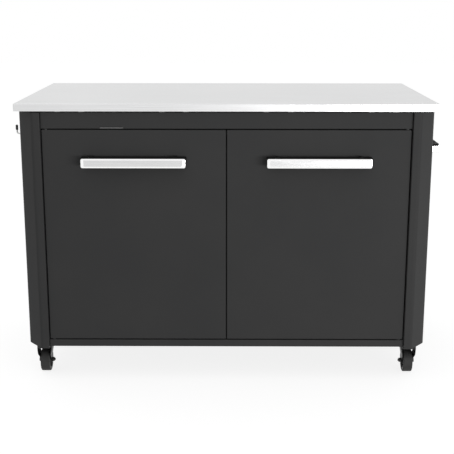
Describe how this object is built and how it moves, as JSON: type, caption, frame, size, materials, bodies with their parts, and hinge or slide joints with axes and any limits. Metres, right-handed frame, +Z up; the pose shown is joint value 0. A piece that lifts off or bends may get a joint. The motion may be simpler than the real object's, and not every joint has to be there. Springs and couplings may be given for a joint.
{
  "type": "outdoor kitchen module",
  "caption": "Outdoor kitchen cabinet on casters: steel worktop, chamfered corner posts, hinged doors with flat bar handles, shelves, side handle and tool hooks.",
  "frame": {"origin": "on the floor below the middle of the whole object's bounding box", "axes": "+X to the object's right as seen from the front, +Y to its back, +Z up"},
  "size_m": [1.371, 0.718, 0.9],
  "materials": {
    "worktop_steel": "fine lengthwise brushing, softly satin",
    "charcoal_coat": "fine-textured satin powder coat",
    "handle_steel": "lengthwise brushed with bright bevels",
    "black_metal": "satin black coat on cast metal",
    "plain_steel": "bright zinc plating",
    "galvanised_steel": "dull zinc-coated sheet",
    "caster_metal": "black coat on pressed steel",
    "hub_plastic": "moulded, slightly grained",
    "tyre_rubber": "matt tread",
    "black_plastic": "moulded, slightly grained",
    "black_rubber": "matt",
    "grey_plastic": "moulded",
    "dark_zinc_steel": "black zinc plating"
  },
  "bodies": {
    "cabinet": {"back_panel": "charcoal_coat", "base_panel": "charcoal_coat", "bottom_rail_front": "charcoal_coat", "caster_bolts": "dark_zinc_steel", "caster_plates": "caster_metal", "catch_bar": "grey_plastic", "catch_magnets": "black_plastic", "centre_divider": "charcoal_coat", "door_bumpers": "black_rubber", "frame_screws": "plain_steel", "hinge_bushes": "black_plastic", "hook_rail": "plain_steel", "hook_tips": "black_plastic", "post_front_left": "charcoal_coat", "post_front_right": "charcoal_coat", "post_rear_left": "charcoal_coat", "post_rear_right": "charcoal_coat", "shelf_left": "charcoal_coat", "shelf_rails": "charcoal_coat", "shelf_right": "charcoal_coat", "side_handle_carrier": "black_metal", "side_handle_plate": "handle_steel", "side_panel_left": "charcoal_coat", "side_panel_right": "charcoal_coat", "tool_hooks": "plain_steel", "top_rail_front": "charcoal_coat", "worktop": "worktop_steel", "worktop_stiffeners": "galvanised_steel"},
    "door_left": {"door_left_outer": "charcoal_coat", "door_left_liner": "charcoal_coat", "door_left_strike": "plain_steel", "door_left_hinge_pins": "plain_steel", "door_left_handle_plate": "handle_steel", "door_left_handle_carrier": "black_metal", "door_left_handle_screws": "plain_steel"},
    "door_right": {"door_right_outer": "charcoal_coat", "door_right_liner": "charcoal_coat", "door_right_strike": "plain_steel", "door_right_hinge_pins": "plain_steel", "door_right_handle_plate": "handle_steel", "door_right_handle_carrier": "black_metal", "door_right_handle_screws": "plain_steel"},
    "caster_fl": {"caster_front_left_fork": "caster_metal", "caster_front_left_axle": "dark_zinc_steel"},
    "wheel_fl": {"wheel_front_left_hub": "hub_plastic", "wheel_front_left_tyre": "tyre_rubber"},
    "brake_fl": {"caster_front_left_brake": "black_plastic"},
    "caster_fr": {"caster_front_right_fork": "caster_metal", "caster_front_right_axle": "dark_zinc_steel"},
    "wheel_fr": {"wheel_front_right_hub": "hub_plastic", "wheel_front_right_tyre": "tyre_rubber"},
    "brake_fr": {"caster_front_right_brake": "black_plastic"},
    "caster_rl": {"caster_rear_left_fork": "caster_metal", "caster_rear_left_axle": "dark_zinc_steel"},
    "wheel_rl": {"wheel_rear_left_hub": "hub_plastic", "wheel_rear_left_tyre": "tyre_rubber"},
    "caster_rr": {"caster_rear_right_fork": "caster_metal", "caster_rear_right_axle": "dark_zinc_steel"},
    "wheel_rr": {"wheel_rear_right_hub": "hub_plastic", "wheel_rear_right_tyre": "tyre_rubber"}
  },
  "joints": [
    {"name": "door_left_hinge", "type": "hinge", "parent": "cabinet", "child": "door_left", "pos_m": [-0.557, -0.31, 0.48], "axis": [0, 0, -1], "range_deg": [0, 105]},
    {"name": "door_right_hinge", "type": "hinge", "parent": "cabinet", "child": "door_right", "pos_m": [0.557, -0.31, 0.48], "axis": [0, 0, 1], "range_deg": [0, 105]},
    {"name": "swivel_fl", "type": "hinge", "parent": "cabinet", "child": "caster_fl", "pos_m": [-0.6, -0.261, 0.1], "axis": [0, 0, 1], "continuous": true},
    {"name": "wheel_spin_fl", "type": "hinge", "parent": "caster_fl", "child": "wheel_fl", "pos_m": [-0.6, -0.235, 0.0375], "axis": [1, 0, 0], "continuous": true},
    {"name": "brake_tip_fl", "type": "hinge", "parent": "caster_fl", "child": "brake_fl", "pos_m": [-0.6, -0.239, 0.0852], "axis": [1, 0, 0], "range_deg": [0, 20]},
    {"name": "swivel_fr", "type": "hinge", "parent": "cabinet", "child": "caster_fr", "pos_m": [0.6, -0.261, 0.1], "axis": [0, 0, 1], "continuous": true},
    {"name": "wheel_spin_fr", "type": "hinge", "parent": "caster_fr", "child": "wheel_fr", "pos_m": [0.6, -0.235, 0.0375], "axis": [1, 0, 0], "continuous": true},
    {"name": "brake_tip_fr", "type": "hinge", "parent": "caster_fr", "child": "brake_fr", "pos_m": [0.6, -0.239, 0.0852], "axis": [1, 0, 0], "range_deg": [0, 20]},
    {"name": "swivel_rl", "type": "hinge", "parent": "cabinet", "child": "caster_rl", "pos_m": [-0.6, 0.289, 0.1], "axis": [0, 0, 1], "continuous": true},
    {"name": "wheel_spin_rl", "type": "hinge", "parent": "caster_rl", "child": "wheel_rl", "pos_m": [-0.6, 0.315, 0.0375], "axis": [1, 0, 0], "continuous": true},
    {"name": "swivel_rr", "type": "hinge", "parent": "cabinet", "child": "caster_rr", "pos_m": [0.6, 0.289, 0.1], "axis": [0, 0, 1], "continuous": true},
    {"name": "wheel_spin_rr", "type": "hinge", "parent": "caster_rr", "child": "wheel_rr", "pos_m": [0.6, 0.315, 0.0375], "axis": [1, 0, 0], "continuous": true}
  ]
}
